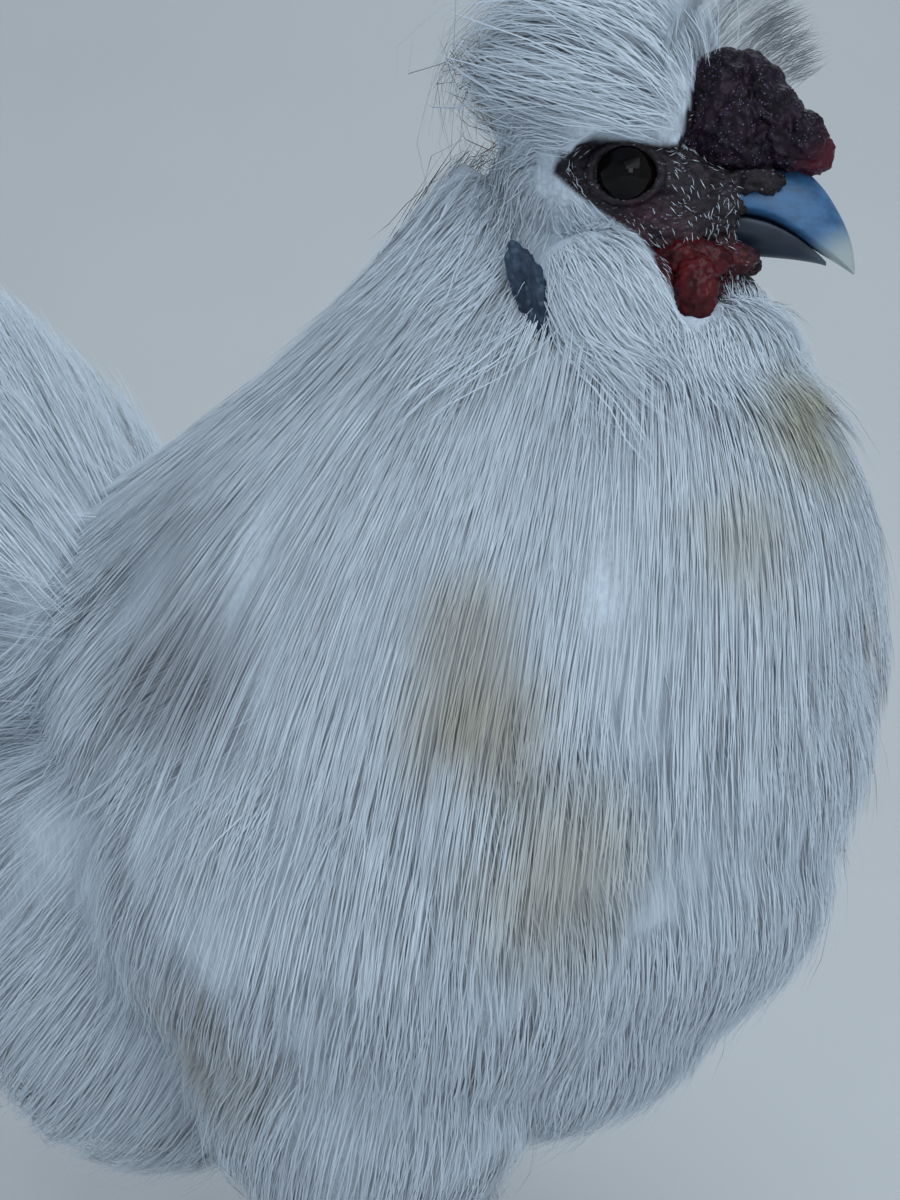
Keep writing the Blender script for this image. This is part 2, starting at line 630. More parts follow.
class Plumage:
    """Gathers the strands of one coat piece, and writes them as one mesh with its OFBake map."""

    def __init__(self, name, seed, shy=None):
        self.name, self.dice, self.shy = name, np.random.default_rng(seed), shy
        self.batches = []

    def spread(self, pelt, count, u_range, v_range, keep=None):
        """Even root places on a pelt, by area, as arrays of u and v."""
        dice, tries = self.dice, count * 6
        u = dice.uniform(*u_range, tries)
        v = dice.uniform(*v_range, tries)
        spot, along, across, _ = pelt.frame(u, v)
        area = np.linalg.norm(np.cross(along, across), axis=-1)
        chosen = dice.uniform(0, 1, tries) < area / np.percentile(area, 98)
        if keep is not None:
            chosen &= keep(spot)
        places = np.flatnonzero(chosen)[:count]
        return u[places], v[places]

    def lay(self, pelt, u, v, length, each=13, lift=8.0, levels=(0.7, 1.05), **more):
        """Locks of many fine hairs that lie almost side by side."""
        self.grow(pelt, u, v, length, each, 0.22, 0.3, lift, levels, stray=0.05, **more)

    def grow(self, pelt, u, v, length, each, width, ridge, lift=8.0, levels=(0.3, 1.1), root=1.5, sway=0.0,
             roots=2.0, tips=0.6, gather=0.8, arch=0.0, frizz=0.3, start=0.45, knots=4, tile=(0, 0, 1, 1),
             stray=0.08, turned=0.04, pull=None, u_end=None, face=None):
        """Grows a lock at each u, v: each strands of the width, lifted off the pelt towards their tips."""
        dice, locks = self.dice, len(u)
        if not locks:
            return
        length = length * dice.uniform(0.8, 1.2, locks)
        if u_end is not None:
            room = (u_end - u) * np.linalg.norm(pelt.frame(u, v)[1], axis=-1) * dice.uniform(0.7, 1.1, locks)
            length = np.minimum(length, np.maximum(room, 5))
        sway = sway + dice.normal(0, turned, locks)
        steps = 10
        path, ways, outs = pelt.walk(u, v, length, sway, steps)
        lock = np.repeat(np.arange(locks), each)
        strands = len(lock)
        begin = dice.uniform(0, start, strands) ** 1.2
        finish = np.minimum(begin + dice.uniform(0.55, 0.85, strands), 1.0)
        finish = np.where(dice.uniform(0, 1, strands) < 0.5, dice.uniform(0.8, 1.0, strands), finish)
        share = np.linspace(0, 1, knots)
        times = begin[:, None] + (finish - begin)[:, None] * share
        place = np.clip(times * steps, 0, steps - 1e-6)
        low = place.astype(int)
        part = (place - low)[..., None]

        def follow(rows):
            own = rows[lock[:, None], low], rows[lock[:, None], low + 1]
            return own[0] * (1 - part) + own[1] * part

        spots, across, out = follow(path), unit(follow(ways)), unit(follow(outs))
        wild = np.where(dice.uniform(0, 1, strands) < stray, 2.6, 1.0)
        aside_root = dice.normal(0, roots, strands)
        aside_tip = aside_root * gather + dice.normal(0, tips, strands) * wild
        up_root = -root + dice.uniform(-0.6, 0.6, strands)
        up_tip = np.broadcast_to(lift, locks)[lock] * dice.uniform(*levels, strands)
        up_lock = np.repeat(dice.uniform(0.92, 1.06, locks), each)
        ease = share**0.85
        aside = aside_root[:, None] * (1 - ease) + aside_tip[:, None] * ease
        rise = times**0.7 * (up_tip * up_lock * wild**0.5)[:, None] + up_root[:, None] * (1 - share) ** 1.5
        rise = rise + arch * np.sin(math.pi * share)
        phase = dice.uniform(0, WHOLE_TURN, (2, strands, 1))
        bends = dice.uniform(0.6, 1.6, (2, strands, 1)) * WHOLE_TURN
        aside = aside + frizz * share * np.sin(bends[0] * share + phase[0])
        rise = rise + 0.6 * frizz * share * np.sin(bends[1] * share + phase[1])
        spots = spots + across * aside[..., None] + out * rise[..., None]
        soft = unit(out + across * np.clip(aside / 8, -0.3, 0.3)[..., None])
        if face is not None:
            soft = unit(soft * 0.4 + np.array(face, float))
        if pull is not None:
            spots = spots + np.array(pull, float) * (share**2)[None, :, None] * dice.uniform(0.4, 1.2, (strands, 1, 1))
        thick = width * dice.uniform(0.7, 1.25, strands)
        x0, y0, x1, y1 = tile
        map_x, map_y = pelt.on_map(u, v)
        at = np.stack([x0 + (x1 - x0) * map_x[lock], y0 + (y1 - y0) * map_y[lock]], axis=-1)
        at += dice.uniform(-PATCH, PATCH, at.shape) * 2
        self.add(spots, soft, thick, ridge, at, np.repeat(dice.uniform(0, 1, locks), each))

    def add(self, spots, out, thick, ridge, at, lock_tint):
        """Takes strands by their middle lines, outward directions, widths, map places and tints."""
        dice, strands = self.dice, len(spots)
        clear = (spots[..., 2] > 0.6).all(axis=1)
        if self.shy is not None:
            clear &= ~self.shy(spots.reshape(-1, 3)).reshape(spots.shape[:2]).any(axis=1)
        tints = np.stack([lock_tint, dice.uniform(0, 1, strands)], axis=-1)
        self.batches.append([rows[clear] for rows in (spots, out, thick, at, tints)] + [ridge])

    def object(self):
        """Writes every strand as a closed three-sided hair with a pointed tip."""
        corners, faces, maps, looks, fibres, turns, first = [], [], [], [], [], [], 0
        for spots, out, thick, at, tints, ridge in self.batches:
            strands, knots = spots.shape[:2]
            ahead = unit(np.gradient(spots, axis=1))
            aside = unit(np.cross(ahead, out))
            up = np.cross(aside, ahead)
            share = np.linspace(0, 1, knots)
            half = thick[:, None] / 2 * (0.22 + 2.8 * share * (1 - share))[None, :]
            half = half[:, :-1, None]
            body, soft = spots[:, :-1], out[:, :-1]
            aside, up = aside[:, :-1], up[:, :-1]
            rings = np.stack([body + aside * half, body + up * half * 2 * ridge, body - aside * half], axis=2)
            verts = np.concatenate([rings.reshape(strands, -1, 3), spots[:, -1:]], axis=1)
            leans = np.stack([soft + aside * 0.2, soft + up * 0.2, soft - aside * 0.2], axis=2)
            leans = np.concatenate([leans.reshape(strands, -1, 3), out[:, -1:]], axis=1)
            last, tip = 3 * (knots - 2), 3 * (knots - 1)
            pattern = [(0, 1, 2)]
            for k in range(0, last, 3):
                for i, j in ((0, 1), (1, 2), (2, 0)):
                    pattern += [(k + i, k + 3 + i, k + 3 + j), (k + i, k + 3 + j, k + j)]
            pattern += [(last + i, tip, last + j) for i, j in ((0, 1), (1, 2), (2, 0))]
            step = verts.shape[1]
            faces.append((np.array(pattern)[None] + (first + step * np.arange(strands))[:, None, None]).reshape(-1, 3))
            first += step * strands
            corners.append(verts.reshape(-1, 3))
            turns.append(unit(leans).reshape(-1, 3))
            across = np.append(np.tile((0, 0.5, 1), knots - 1), 0.5)
            along = np.append(np.repeat(share[:-1], 3), 1)
            maps.append((at[:, None] + PATCH * np.stack([across, along], axis=-1)[None]).reshape(-1, 2))
            look = np.empty((strands, step, 3))
            look[..., 0] = along
            look[..., 1:] = tints[:, None]
            looks.append(look.reshape(-1, 3))
            fibre = np.zeros((strands, step, 3))
            fibre[..., 0] = (across - 0.5) * thick[:, None] + tints[:, 1:] * 90
            fibre[..., 1] = along
            fibres.append(fibre.reshape(-1, 3))
        corners, faces = in_model(np.concatenate(corners)), np.concatenate(faces)
        maps = np.clip(np.concatenate(maps), 0, 1)
        mesh = bpy.data.meshes.new(self.name)
        mesh.vertices.add(len(corners))
        mesh.vertices.foreach_set("co", corners.astype(np.float32).ravel())
        mesh.loops.add(faces.size)
        mesh.loops.foreach_set("vertex_index", faces.astype(np.int32).ravel())
        mesh.polygons.add(len(faces))
        mesh.polygons.foreach_set("loop_start", np.arange(0, faces.size, 3, dtype=np.int32))
        bake = mesh.uv_layers.new(name="OFBake")
        bake.uv.foreach_set("vector", maps[faces.ravel()].astype(np.float32).ravel())
        mesh.update(calc_edges=True)
        mesh.shade_smooth()
        for name, rows in (("strand", looks), ("fibre", fibres), ("custom_normal", turns)):
            own = mesh.attributes.new(name, "FLOAT_VECTOR", "POINT")
            own.data.foreach_set("vector", np.concatenate(rows).astype(np.float32).ravel())
        obj = bpy.data.objects.new(self.name, mesh)
        bpy.context.scene.collection.objects.link(obj)
        return obj


def plume_material(name, root, tip, shade, bright):
    """White feather: duskier at the root, silky and cool white at the tip, lined by its own barbs."""
    material, surface, add, link = nodes_for(name)
    strand = add("Attribute", attribute_name="strand")
    parts = add("SeparateXYZ", {0: strand.outputs["Vector"]})
    colour = blend_of(add, ramp_of(add, parts.outputs[0], 0.0, 0.7), root, tip)
    lock = add("MapRange", {"Value": parts.outputs[1], "To Min": 0.0, "To Max": 0.2}).outputs[0]
    colour = blend_of(add, lock, colour, shade)
    barbs = noise_of(add, 1.0, 2, 0.5, (9, 1.5, 1), add("Attribute", attribute_name="fibre").outputs["Vector"])
    colour = blend_of(add, product_of(add, ramp_of(add, barbs, 0.55, 0.35), 0.35), colour, shade)
    shine = ramp_of(add, parts.outputs[2], 0.80, 1.0)
    colour = blend_of(add, product_of(add, shine, 0.35), colour, bright)
    link(with_stains(add, colour), "Base Color")
    rough = add("MapRange", {"Value": parts.outputs[2], "To Min": 0.8, "To Max": 0.6}).outputs[0]
    link(rough, "Roughness")
    surface.inputs["Specular IOR Level"].default_value = 0.12
    surface.inputs["Sheen Weight"].default_value = 0.1
    surface.inputs["Sheen Roughness"].default_value = 0.5
    return material


PLUME_WHITE = plume_material("down_white", (0.76, 0.83, 0.92), (0.80, 0.88, 0.97), (0.66, 0.73, 0.82), (0.90, 0.96, 1.0))
HACKLE_WHITE = plume_material("hackle_white", (0.72, 0.78, 0.85), (0.76, 0.83, 0.91), (0.62, 0.67, 0.73), (0.88, 0.94, 1.0))


def coat_piece(plumage, material, *nodes, slot="white_plumage"):
    obj = dressed(plumage.object(), material)
    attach(obj, "root")
    if nodes:
        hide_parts(*nodes)
    return obj


DEGREE = math.radians(1)
FULLNESS = {"right": 1.0, "left": 0.72}


def around(low, high):
    return low * DEGREE, high * DEGREE


cape_turns, cape_steps = np.meshgrid(np.linspace(0, WHOLE_TURN, 61), np.linspace(0, 0.8, 19))
cape_sheet = CAPE.point(cape_steps, cape_turns).reshape(-1, 3)
cape_faces = [
    (r * 61 + c, r * 61 + c + 1, (r + 1) * 61 + c + 1, (r + 1) * 61 + c) for r in range(18) for c in range(60)
]
CAPE_TREE = BVHTree.FromPolygons([Vector(p) for p in cape_sheet], cape_faces)


def on_cape(points):
    """Which points lie on the shell that the hackles cover."""
    return np.array([CAPE_TREE.find_nearest(Vector(p))[3] < 3 for p in points])


# Body fluff: dense soft feathers on breast, belly, back, rump and thighs, rooted all over the skin.
def lie_of_down(points):
    """The way the fluff lies: down the trunk and further back behind, out along the tail, round the face."""
    local = (points - HEAD_EYES) @ HEAD_TURN
    x, z = local[:, 0], local[:, 2]
    back = np.interp(points[:, 0], (-90, -40, 0, 30, 60), (-1.0, -0.6, -0.25, 0.0, 0.1))
    ways = np.stack([back, 0 * back, -1 + 0 * back], axis=-1)
    tailward = np.clip((-62 - points[:, 0]) / 28, 0, 1) * np.clip((points[:, 2] - 112) / 30, 0, 1)
    ways += tailward[:, None] * (np.array((-0.85, 0, 0.5)) - ways)
    around_head = (z > -55) & (x > -34) & (points[:, 2] > 175)
    parts = (
        (around_head & (x > 12), (0.15, 0, -1.0)),
        (around_head & (x <= 12), (0.55, 0, -0.83)),
        (around_head & (x < -13), (-0.45, 0, -0.9)),
        (around_head & (z > 2), (-1.0, 0, 0.05)),
        (around_head & (z > 2) & (x < -16), (-0.8, 0, -0.6)),
    )
    for where, way in parts:
        ways[where] = HEAD_TURN @ np.array(way)
    return unit(ways)


HIDE = Hide(skin, lie_of_down, (-120, 80), (120, 0))
skin_x, skin_y, skin_z = HIDE.middles.T
in_head = (HIDE.middles - HEAD_EYES) @ HEAD_TURN
head_x, head_z = in_head[:, 0], in_head[:, 2]
ON_TRUNK = (skin_z > 38) & ((head_z < -46) | (head_x < -30)) & ~on_cape(HIDE.middles)
for name, s in SIDES.items():
    for part, count, length, lift, inside in (
        ("front", 640, 24, 5.5, skin_x > 5), ("rear", 720, 30, 7, skin_x <= 5)
    ):
        fluff = Plumage(f"{part}_fluff_{name}", 11 + s + 4 * (part == "rear"))
        u, v = HIDE.roots(fluff.dice, int(count * FULLNESS[name]), ON_TRUNK & inside & (skin_y * s > 0))
        fluff.lay(HIDE, u, v, length, lift=lift, root=1.5, roots=2.8, tips=1.0, start=0.3)
        coat_piece(fluff, PLUME_WHITE)

# Cape: long silky hackles that fall from the nape and throat over the shoulders and breast.
for name, s in SIDES.items():
    cape = Plumage("cape_" + name, 31 + s)
    v_range = around(*((180, 360) if s < 0 else (0, 180)))
    for count, u_range, length, high in (
        (210, (0.45, 1.0), 34, 1.6), (190, (0.10, 0.75), 48, 1.4), (110, (0.00, 0.40), 58, 1.8), (90, (-0.08, 0.14), 42, 4.0)
    ):
        u, v = cape.spread(CAPE, int(count * FULLNESS[name]), u_range, v_range)
        flat_back = high * (1 - 0.6 * np.clip(np.cos(v), 0, 1))
        cape.lay(CAPE, u, v, length, lift=flat_back, root=1.6, roots=2.8, tips=0.5, gather=0.95, frizz=0.12,
                 start=0.4, turned=0.025, knots=5, u_end=1.09)
    coat_piece(cape, HACKLE_WHITE)

# Wings: folded small wings with frayed coverts and soft shredded flight feathers.
WING_PELT = Egg((-4, 0, 128), ((79.5, 76.5), (61.5, 61.5), (52.5, 64.5)), LEANING)
for name, s in SIDES.items():
    wing = Plumage("wing_coat_" + name, 41 + s)
    for row, (low, high, length, lift) in enumerate(((70, 92, 28, 2.5), (86, 104, 34, 2), (98, 114, 38, 1.5))):
        middle = 93 - row * 9
        v_range = tuple(sorted((s * (middle - 30) * DEGREE, s * (middle + 30) * DEGREE)))
        u, v = wing.spread(WING_PELT, 40, (low * DEGREE, high * DEGREE), v_range)
        wing.lay(WING_PELT, u, v, length, lift=lift, root=3, sway=-0.5 * s, roots=2.0)
    coat_piece(wing, HACKLE_WHITE, "wing_" + name)

# Tail: a rounded cushion of soft plumes with no stiff quills.
PLUME = Skirt(
    back=((-62, 0, 112), (-92, 0, 102), (-112, 0, 112), (-134, 0, 124)),
    flank=((-50, 44, 146), (-76, 58, 160), (-106, 58, 176), (-136, 40, 180)),
    front=((-56, 0, 160), (-76, 0, 178), (-100, 0, 222), (-142, 0, 224)),
)
PLUME_HEART = Skirt(
    back=((-92, 0, 146), (-108, 0, 140), (-122, 0, 144), (-138, 0, 150)),
    flank=((-92, 18, 166), (-108, 26, 172), (-122, 26, 180), (-142, 20, 184)),
    front=((-92, 0, 186), (-108, 0, 200), (-122, 0, 210), (-142, 0, 216)),
)
for name, s in SIDES.items():
    tail = Plumage("tail_" + name, 51 + s)
    v_range = around(*((180, 360) if s < 0 else (0, 180)))
    for count, u_range, length, lift in ((210, (0.0, 0.55), 40, 5), (170, (0.3, 0.85), 30, 4)):
        u, v = tail.spread(PLUME, int(count * FULLNESS[name]), u_range, v_range)
        tail.lay(PLUME, u, v, length, lift=lift, root=5, roots=3.0, tips=1.5, frizz=0.5,
                 tile=(0, 0, 1, 0.5), u_end=1.02)
    u, v = tail.spread(PLUME_HEART, 70, (0.0, 0.7), v_range)
    tail.lay(PLUME_HEART, u, v, 36, lift=3, root=2, roots=3, tips=2, frizz=0.5, tile=(0, 0.5, 1, 1), u_end=1.02)
    coat_piece(tail, PLUME_WHITE, *(["tail"] if s < 0 else []))

# Shanks and feet: the feathered legs of the breed, with fluff down the outer side.
shanks = Plumage("shank_coat", 63)
for name, s in SIDES.items():
    leg = Egg(((SHANK_X + FOOT_X) / 2, s * LEG_Y, 36), (4.5, 4.5, 30))
    v_range = tuple(sorted((s * -20 * DEGREE, s * 200 * DEGREE)))
    u, v = shanks.spread(leg, 90, (50 * DEGREE, 150 * DEGREE), v_range)
    shanks.lay(leg, u, v, 20, lift=9, roots=1.0, tips=1.5,
               tile=(0, 0, 0.5, 1) if s < 0 else (0.5, 0, 1, 1))
coat_piece(shanks, PLUME_WHITE)

# Crest: a powder-puff that springs from behind the comb and sweeps back over the nape.
FRINGE = Fan(
    head_point(10, 0, -60),
    [head_point(*p) for p in ((2, -13, 8), (5, -18, 17), (8, -21, 25), (11, -22, 32))],
    [head_point(*p) for p in ((2, 2, 14), (7, 2, 28), (14, 2, 36), (23, 2, 40))],
    [head_point(*p) for p in ((8, 13, 7), (15, 18, 15), (24, 19, 21), (33, 17, 25))],
)
UPWARD = (0.35, 0, 0.9)


def over_the_face(points):
    """Where a strand would hang over the bare face."""
    local = (points - HEAD_EYES) @ HEAD_TURN
    x, z = local[:, 0], local[:, 2]
    under = z < np.interp(x, (-13.5, -10.5, -5.5, 0, 6, 9, 12), (-1, 3.6, 4.6, 5.0, 5.0, 7.5, 20))
    beard_top = np.interp(x, (12, 16, 19, 30), (-22, -20, -15.5, -15))
    face = under & (z > np.maximum(lower_edge(x), beard_top * (x > 12) - 40 * (x <= 12)) + 1.2) & (x > -10.8) & (x < 30)
    wattle = ((x - 14.3) / 4.2) ** 2 + ((z + 20.0) / 6.2) ** 2 < 1
    return (face | wattle) & (np.abs(local[:, 1]) > 4)


def above_the_face(points):
    """Roots on the crown, above the bare face."""
    local = (points - HEAD_EYES) @ HEAD_TURN
    return (local[:, 2] > np.interp(local[:, 0], (-14, -8, 9, 14), (-2, 6.5, 7.0, 7.5))) & (local[:, 0] < 14)


crest = Plumage("crest", 71, over_the_face)
for count, u_range, length, lift in (
    (90, around(4, 45), 22, 11), (120, around(35, 90), 28, 13), (120, around(75, 130), 26, 10)
):
    u, v = crest.spread(CREST, count, u_range, around(-130, 130), above_the_face)
    crest.lay(CREST, u, v, length, lift=lift, levels=(0.3, 1.1), roots=2.4, tips=2.4, frizz=0.7, turned=0.12,
              tile=(0, 0, 1, 0.6), knots=5)
u, v = crest.spread(CREST, 22, around(60, 115), around(-110, 110))
crest.grow(CREST, u, v, 40, 5, 0.16, 0.4, lift=18, tips=3, frizz=1.2, tile=(0, 0, 1, 0.6), knots=5)
u, v = crest.spread(FRINGE, 110, (0.0, 0.7), (-1, 1))
crest.lay(FRINGE, u, v, 17, lift=1.5, root=1, roots=2.2, tips=1.0, tile=(0, 0.6, 1, 0.8),
          u_end=1.1, face=UPWARD)
coat_piece(crest, PLUME_WHITE, "crest")

# Head down, muffs and beard: short feathers back from the face, and cottony ones that swell down from
# the ears and chin to frame the bare face.
BARE = bare_share(HIDE.middles)
AROUND_HEAD = (head_z > -46) & (head_x > -32) & ~on_cape(HIDE.middles)
ON_HEAD = AROUND_HEAD & (BARE < 0.4)
CHIN = AROUND_HEAD & (head_x > 6) & (head_z < -12) & ((BARE < 0.4) | ((head_x > 15) & (head_z < -16.5)))
for name, s in SIDES.items():
    own = ON_HEAD & ~CHIN & (skin_y * s > -3 - 2 * s)
    cheek = own & (head_z < -2)
    muff = Plumage("muff_" + name, 91 + s, over_the_face)
    for count, length, lift, inside in ((170, 10, 1.8, cheek), (170, 15, 3.0, cheek), (70, 21, 5, cheek & (head_z < -18))):
        u, v = HIDE.roots(muff.dice, count, inside)
        muff.lay(HIDE, u, v, length, lift=lift, root=1, roots=1.5, tips=0.9)
    coat_piece(muff, PLUME_WHITE, "muff_" + name)
    crown = Plumage("head_down_" + name, 77 + s, over_the_face)
    u, v = HIDE.roots(crown.dice, 200, own & (head_z >= -2))
    crown.lay(HIDE, u, v, 12, lift=3, root=1, roots=1.4, tips=0.8)
    nape = AROUND_HEAD & (skin_y * s > -3 - 2 * s) & (head_x < -11) & (head_z > -26) & (head_z < 8)
    u, v = HIDE.roots(crown.dice, 70, nape)
    crown.lay(HIDE, u, v, 42, lift=7, levels=(0.3, 1.1), root=1, roots=2.5, tips=2.5, frizz=0.8, knots=5)
    coat_piece(crown, PLUME_WHITE)
beard = Plumage("beard", 81, over_the_face)
for count, length, lift, inside in ((190, 9, 2, CHIN), (190, 15, 4, CHIN), (90, 20, 5, CHIN & (head_z < -24))):
    u, v = HIDE.roots(beard.dice, count, inside)
    beard.lay(HIDE, u, v, length, lift=lift, root=1, roots=1.6, tips=1.0)
coat_piece(beard, PLUME_WHITE, "beard")

# Face bristles: the sparse tiny white feathers on the bare skin.
for name, s in SIDES.items():
    stubble = Plumage("face_bristles_" + name, 97 + s)
    around_eye = np.hypot(head_x, head_z * 1.1) > 7.8
    u, v = HIDE.roots(stubble.dice, 420, (BARE > 0.9) & around_eye & (head_x < 21) & (skin_y * s > -2))
    stubble.grow(HIDE, u, v, 2.4, 1, 0.13, 0.5, lift=0.7, root=0.2, roots=0.1, tips=0.3, frizz=0.1, knots=3)
    coat_piece(stubble, PLUME_WHITE)

# Eyes: nearly black, with a narrow brown iris under a wet clear cornea.
def eye_material():
    material, surface, add, link = nodes_for("eye")
    place = add("TexCoord").outputs["UV"]
    reach = add("VectorMath", {0: place, 1: (0.5, 0.5, 0)}, operation="DISTANCE").outputs["Value"]
    fibres = noise_of(add, 30, 5, 0.6, (1, 1, 1), place)
    iris = blend_of(add, ramp_of(add, fibres, 0.35, 0.65), (0.002, 0.0015, 0.001), (0.008, 0.004, 0.003))
    colour = blend_of(add, ramp_of(add, reach, 0.27, 0.30), (0.002, 0.002, 0.003), iris)
    colour = blend_of(add, ramp_of(add, reach, 0.40, 0.46), colour, (0.004, 0.003, 0.003))
    link(colour, "Base Color")
    link(add("MapRange", {"Value": fibres, "To Min": 0.02, "To Max": 0.05}).outputs[0], "Roughness")
    surface.inputs["Specular IOR Level"].default_value = 0.16
    return material


EYE_FINISH = eye_material()
for name, s in SIDES.items():
    def eye_place(q, s=s):
        """A ball with the cornea's own shallow bulge."""
        outward = np.clip(q[:, 1] * s, 0, 1)
        bulge = 1 + 0.035 * np.clip((outward - 0.78) / 0.22, 0, 1) ** 2
        return head_point(0, s * EYE_OUT, 0) + (q * EYE_RADIUS * bulge[:, None]) @ HEAD_TURN.T

    eye = ball("eyeball_" + name, eye_place, 5)
    local = ((corners_of(eye) - in_model(head_point(0, s * EYE_OUT, 0))) @ HEAD_TURN) / (EYE_RADIUS * MM)
    eye.data.uv_layers.new(name="front")
    loops = np.empty(len(eye.data.loops), np.int32)
    eye.data.loops.foreach_get("vertex_index", loops)
    front = np.stack([0.5 + local[:, 0] * 0.55, 0.5 + local[:, 2] * 0.55], axis=-1)
    front[local[:, 1] * s < 0] = (0.98, 0.5)
    eye.data.uv_layers["front"].uv.foreach_set("vector", front[loops].astype(np.float32).ravel())
    smooth(eye)
    dressed(eye, EYE_FINISH)
    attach(eye, "root")
    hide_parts("eye_" + name)

# Comb: a walnut comb, broad and low, of furrowed dark flesh with a redder knob in front.
def comb_place(q):
    box = q / np.sum(np.abs(q) ** 2.8, axis=-1, keepdims=True) ** (1 / 2.8)
    x = 21.8 + 14.0 * box[:, 0]
    top = np.interp(box[:, 0], (-1, -0.75, -0.2, 0.2, 0.6, 0.95, 1), (22.0, 24.8, 25.6, 22.6, 15.8, 10.5, 8.5))
    low, half = 1.6, 11.5 - 2.5 * np.clip(box[:, 0], 0, 1)
    furrow = 1.4 * np.exp(-((q[:, 0] - 0.05 + 0.3 * q[:, 2]) ** 2) / 0.01)
    spots = np.stack([x, half * box[:, 1], low + (top - low) * (0.5 + 0.5 * box[:, 2])], axis=-1)
    return HEAD_EYES + (spots - q * furrow[:, None]) @ HEAD_TURN.T


def flesh_material(name, deep, high, rim, rough=0.5, grain=900, coat=0.0):
    """Bare flesh: dark in its furrows, lighter on its papillae, with a fine bloom."""
    material, surface, add, link = nodes_for(name)
    pores = add("TexVoronoi", {"Vector": add("TexCoord").outputs["Object"], "Scale": grain}).outputs["Distance"]
    clouds = noise_of(add, 220, 5)
    colour = blend_of(add, ramp_of(add, clouds, 0.35, 0.65), deep, high)
    colour = blend_of(add, product_of(add, ramp_of(add, pores, 0.45, 0.15), 0.45), colour, rim)
    link(colour, "Base Color")
    surface.inputs["Roughness"].default_value = rough
    surface.inputs["Specular IOR Level"].default_value = 0.2
    surface.inputs["Coat Weight"].default_value = coat
    surface.inputs["Coat Roughness"].default_value = 0.25
    bump_of(add, link, pores, 0.5, -0.0004)
    return material, add, link, colour


comb_parts = [ball("comb_flesh", comb_place, 6)]
for x, y, z, r in ((33.4, -3.0, 6.4, 3.4), (31.5, -6.5, 9.0, 4.0), (32.0, 5.5, 8.0, 4.2)):
    knob = Egg(head_point(x, y, z), (r, r, r * 1.1))
    comb_parts.append(ball("knob", knob.on_unit, 4))
comb = fused("comb_flesh", 0.4, *comb_parts)
finish_with(comb, "SMOOTH", factor=0.5, iterations=3)
wrinkled(comb, 0.75, 5.5, (1, 1, 1.2), True)
wrinkled(comb, 0.3, 1.3)
smooth(comb)
comb_finish, add, link, colour = flesh_material("comb_flesh", (0.006, 0.003, 0.006), (0.022, 0.009, 0.020), (0.045, 0.026, 0.048), 0.42)
dots = add("TexVoronoi", {"Vector": add("TexCoord").outputs["Object"], "Scale": 1500}).outputs["Distance"]
specks = product_of(add, ramp_of(add, dots, 0.26, 0.12), ramp_of(add, noise_of(add, 300, 4), 0.40, 0.58))
colour = blend_of(add, product_of(add, specks, 0.75), colour, (0.26, 0.20, 0.34))
front = near_of(add, head_point(34, -3, 6), 3, 8)
link(blend_of(add, product_of(add, front, 0.9), colour, (0.085, 0.012, 0.022)), "Base Color")
dressed(comb, comb_finish)
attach(comb, "root")
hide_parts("comb")

# Wattles: smooth hanging lappets of deep red flesh under each side of the beak.
wattle_finish = flesh_material("wattle_flesh", (0.030, 0.002, 0.004), (0.11, 0.007, 0.010), (0.12, 0.012, 0.016), 0.32, 700, 0.1)[0]
for name, s in SIDES.items():
    bulb = Egg(head_point(14.3, s * 12.8, -20.0), (4.2, 3.2, (6.5, 6.8)), turn=HEAD_TURN)
    fold = Egg(head_point(12.8, s * 10.2, -14.6), (7.6, 3.2, 4.0), turn=HEAD_TURN)
    lappet = fused("wattle_flesh_" + name, 0.4, ball("bulb", bulb.on_unit, 5), ball("fold", fold.on_unit, 5))
    finish_with(lappet, "SMOOTH", factor=0.5, iterations=6)
    wrinkled(lappet, 0.5, 3.2, (1, 1, 1.6), True)
    smooth(lappet)
    dressed(lappet, wattle_finish)
    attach(lappet, "root")
    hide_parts("wattle_" + name)

# Earlobes: the breed's turquoise lobes, soft and oval, mostly under the muffs.
lobe_finish = flesh_material("earlobe_flesh", (0.026, 0.040, 0.065), (0.055, 0.085, 0.135), (0.12, 0.16, 0.23), 0.5, 600)[0]
TILT_BACK = np.array(Matrix.Rotation(math.radians(-28), 3, "Y"))
for name, s in SIDES.items():
    lobe_egg = Egg(head_point(-13.5, s * 15.2, -25.5), (3.6, 3.4, 13.5), turn=HEAD_TURN @ TILT_BACK)
    lobe = ball("earlobe_flesh_" + name, lobe_egg.on_unit, 5)
    wrinkled(lobe, 0.6, 3.0, (1.5, 1, 1), True)
    smooth(lobe)
    dressed(lobe, lobe_finish)
    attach(lobe, "root")
    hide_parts("earlobe_" + name)

# Beak: slate-blue horn in two halves, the upper one hooked, with a pale cutting edge.
UPPER_SECTIONS = np.array((
    (20.6, 4.4, -5.4, 6.5), (25.5, 5.4, -6.0, 6.2), (30.5, 4.3, -8.2, 5.4), (35.0, 0.9, -11.0, 4.3),
    (38.8, -4.2, -13.0, 3.0), (41.2, -9.0, -14.4, 1.7), (42.3, -13.6, -15.0, 0.4),
))
LOWER_SECTIONS = np.array((
    (16.5, -5.6, -12.0, 6.0), (21.0, -5.4, -12.4, 5.7), (26.0, -6.2, -12.6, 5.0), (31.0, -8.4, -12.8, 3.8),
    (35.0, -11.2, -13.2, 2.3), (37.0, -12.9, -13.6, 0.8),
))


